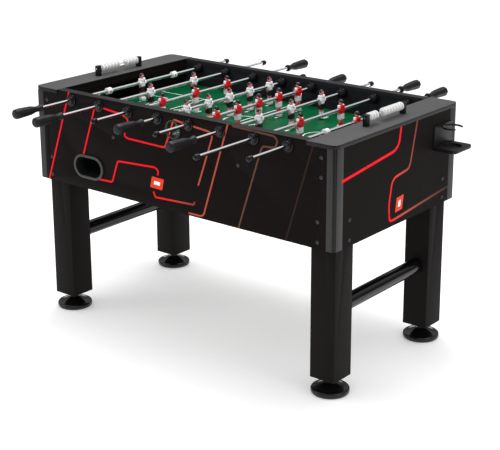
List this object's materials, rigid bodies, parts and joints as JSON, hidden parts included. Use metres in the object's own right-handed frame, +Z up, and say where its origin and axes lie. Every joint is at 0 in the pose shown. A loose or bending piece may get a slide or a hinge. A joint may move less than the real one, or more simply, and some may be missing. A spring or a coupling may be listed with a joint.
{
  "type": "foosball table",
  "caption": "Foosball table with player rods that slide and spin, bead scorers, ball returns, cup holders, square legs and levelling feet.",
  "frame": {"origin": "on the floor, under the middle of the table", "axes": "+X along the table towards its right end, +Z up, -Y the front side"},
  "size_m": [1.57, 1.388, 0.95],
  "materials": {
    "black_laminate": "printed black laminate on MDF",
    "grey_laminate": "grey laminate with ABS edge band",
    "leg_laminate": "black laminate on MDF",
    "grey_profile": "extruded PVC corner profile",
    "pitch_print": "green printed MDF with white lines",
    "raw_timber": "raw softwood",
    "runway_plastic": "moulded black ABS",
    "bezel_plastic": "moulded black ABS with grey rim",
    "entry_plastic": "moulded black ABS",
    "black_enamel": "black enamel on steel tube",
    "screw_black": "dark phosphated steel",
    "bearing_plastic": "moulded black nylon",
    "bumper_rubber": "black rubber",
    "sleeve_nylon": "black nylon",
    "rod_chrome": "chromed steel tube",
    "white_team": "moulded and painted ABS",
    "red_team": "moulded and painted ABS",
    "grip_plastic": "moulded black PP",
    "foot_plastic": "moulded black PP on a steel stud",
    "scorer_black": "moulded black ABS",
    "scorer_wire": "chromed wire",
    "bead_white": "moulded white ABS",
    "cup_plastic": "moulded black ABS"
  },
  "bodies": {
    "cabinet": {"front_side_panel": "black_laminate", "rear_side_panel": "black_laminate", "end_panels": "black_laminate", "goal_walls": "black_laminate", "top_boards": "grey_laminate", "corner_posts": "grey_profile", "playfield": "pitch_print", "playfield_frame": "raw_timber", "ball_runways": "runway_plastic", "ball_return_bezels": "bezel_plastic", "ball_entry_cups": "entry_plastic", "legs": "leg_laminate", "leg_braces": "black_enamel", "panel_screws": "screw_black", "bearing_housings": "bearing_plastic", "bearing_nuts": "bearing_plastic", "rod_bumpers": "bumper_rubber", "scorer_posts": "scorer_black", "scorer_wires": "scorer_wire", "cup_holders": "cup_plastic"},
    "foot_front_left": {"foot_front_left": "foot_plastic"},
    "foot_rear_left": {"foot_rear_left": "foot_plastic"},
    "foot_front_right": {"foot_front_right": "foot_plastic"},
    "foot_rear_right": {"foot_rear_right": "foot_plastic"},
    "left_scorer_beads_front": {"left_scorer_beads_front": "bead_white"},
    "left_scorer_beads_rear": {"left_scorer_beads_rear": "bead_white"},
    "right_scorer_beads_front": {"right_scorer_beads_front": "bead_white"},
    "right_scorer_beads_rear": {"right_scorer_beads_rear": "bead_white"},
    "rod_1_bearing": {"rod_1_sleeves": "sleeve_nylon"},
    "rod_1": {"rod_1_tube": "rod_chrome", "rod_1_figures": "white_team", "rod_1_grip_and_cap": "grip_plastic"},
    "rod_2_bearing": {"rod_2_sleeves": "sleeve_nylon"},
    "rod_2": {"rod_2_tube": "rod_chrome", "rod_2_figures": "white_team", "rod_2_grip_and_cap": "grip_plastic"},
    "rod_3_bearing": {"rod_3_sleeves": "sleeve_nylon"},
    "rod_3": {"rod_3_tube": "rod_chrome", "rod_3_figures": "red_team", "rod_3_grip_and_cap": "grip_plastic"},
    "rod_4_bearing": {"rod_4_sleeves": "sleeve_nylon"},
    "rod_4": {"rod_4_tube": "rod_chrome", "rod_4_figures": "white_team", "rod_4_grip_and_cap": "grip_plastic"},
    "rod_5_bearing": {"rod_5_sleeves": "sleeve_nylon"},
    "rod_5": {"rod_5_tube": "rod_chrome", "rod_5_figures": "red_team", "rod_5_grip_and_cap": "grip_plastic"},
    "rod_6_bearing": {"rod_6_sleeves": "sleeve_nylon"},
    "rod_6": {"rod_6_tube": "rod_chrome", "rod_6_figures": "white_team", "rod_6_grip_and_cap": "grip_plastic"},
    "rod_7_bearing": {"rod_7_sleeves": "sleeve_nylon"},
    "rod_7": {"rod_7_tube": "rod_chrome", "rod_7_figures": "red_team", "rod_7_grip_and_cap": "grip_plastic"},
    "rod_8_bearing": {"rod_8_sleeves": "sleeve_nylon"},
    "rod_8": {"rod_8_tube": "rod_chrome", "rod_8_figures": "red_team", "rod_8_grip_and_cap": "grip_plastic"}
  },
  "joints": [
    {"name": "foot_front_left_screw", "type": "slide", "parent": "cabinet", "child": "foot_front_left", "axis": [0, 0, 1], "range_m": [0, 0.014]},
    {"name": "foot_rear_left_screw", "type": "slide", "parent": "cabinet", "child": "foot_rear_left", "axis": [0, 0, 1], "range_m": [0, 0.014]},
    {"name": "foot_front_right_screw", "type": "slide", "parent": "cabinet", "child": "foot_front_right", "axis": [0, 0, 1], "range_m": [0, 0.014]},
    {"name": "foot_rear_right_screw", "type": "slide", "parent": "cabinet", "child": "foot_rear_right", "axis": [0, 0, 1], "range_m": [0, 0.014]},
    {"name": "left_scorer_beads_front_slide", "type": "slide", "parent": "cabinet", "child": "left_scorer_beads_front", "axis": [0, 1, 0], "range_m": [0, 0.0157]},
    {"name": "left_scorer_beads_rear_slide", "type": "slide", "parent": "cabinet", "child": "left_scorer_beads_rear", "axis": [0, 1, 0], "range_m": [-0.0157, 0]},
    {"name": "right_scorer_beads_front_slide", "type": "slide", "parent": "cabinet", "child": "right_scorer_beads_front", "axis": [0, 1, 0], "range_m": [0, 0.0157]},
    {"name": "right_scorer_beads_rear_slide", "type": "slide", "parent": "cabinet", "child": "right_scorer_beads_rear", "axis": [0, 1, 0], "range_m": [-0.0157, 0]},
    {"name": "rod_1_spin", "type": "hinge", "parent": "cabinet", "child": "rod_1_bearing", "pos_m": [-0.5075, 0, 0.876], "axis": [0, 1, 0], "continuous": true},
    {"name": "rod_1_slide", "type": "slide", "parent": "rod_1_bearing", "child": "rod_1", "axis": [0, 1, 0], "range_m": [-0.1185, 0.1185]},
    {"name": "rod_2_spin", "type": "hinge", "parent": "cabinet", "child": "rod_2_bearing", "pos_m": [-0.3625, 0, 0.876], "axis": [0, 1, 0], "continuous": true},
    {"name": "rod_2_slide", "type": "slide", "parent": "rod_2_bearing", "child": "rod_2", "axis": [0, 1, 0], "range_m": [-0.1905, 0.1525]},
    {"name": "rod_3_spin", "type": "hinge", "parent": "cabinet", "child": "rod_3_bearing", "pos_m": [-0.2175, 0, 0.876], "axis": [0, 1, 0], "continuous": true},
    {"name": "rod_3_slide", "type": "slide", "parent": "rod_3_bearing", "child": "rod_3", "axis": [0, 1, 0], "range_m": [-0.0985, 0.1205]},
    {"name": "rod_4_spin", "type": "hinge", "parent": "cabinet", "child": "rod_4_bearing", "pos_m": [-0.0725, 0, 0.876], "axis": [0, 1, 0], "continuous": true},
    {"name": "rod_4_slide", "type": "slide", "parent": "rod_4_bearing", "child": "rod_4", "axis": [0, 1, 0], "range_m": [-0.0725, 0.0365]},
    {"name": "rod_5_spin", "type": "hinge", "parent": "cabinet", "child": "rod_5_bearing", "pos_m": [0.0725, 0, 0.876], "axis": [0, 1, 0], "continuous": true},
    {"name": "rod_5_slide", "type": "slide", "parent": "rod_5_bearing", "child": "rod_5", "axis": [0, 1, 0], "range_m": [-0.0385, 0.0435]},
    {"name": "rod_6_spin", "type": "hinge", "parent": "cabinet", "child": "rod_6_bearing", "pos_m": [0.2175, 0, 0.876], "axis": [0, 1, 0], "continuous": true},
    {"name": "rod_6_slide", "type": "slide", "parent": "rod_6_bearing", "child": "rod_6", "axis": [0, 1, 0], "range_m": [-0.1275, 0.0915]},
    {"name": "rod_7_spin", "type": "hinge", "parent": "cabinet", "child": "rod_7_bearing", "pos_m": [0.3625, 0, 0.876], "axis": [0, 1, 0], "continuous": true},
    {"name": "rod_7_slide", "type": "slide", "parent": "rod_7_bearing", "child": "rod_7", "axis": [0, 1, 0], "range_m": [-0.1285, 0.1715]},
    {"name": "rod_8_spin", "type": "hinge", "parent": "cabinet", "child": "rod_8_bearing", "pos_m": [0.5075, 0, 0.876], "axis": [0, 1, 0], "continuous": true},
    {"name": "rod_8_slide", "type": "slide", "parent": "rod_8_bearing", "child": "rod_8", "axis": [0, 1, 0], "range_m": [-0.0895, 0.1035]}
  ]
}
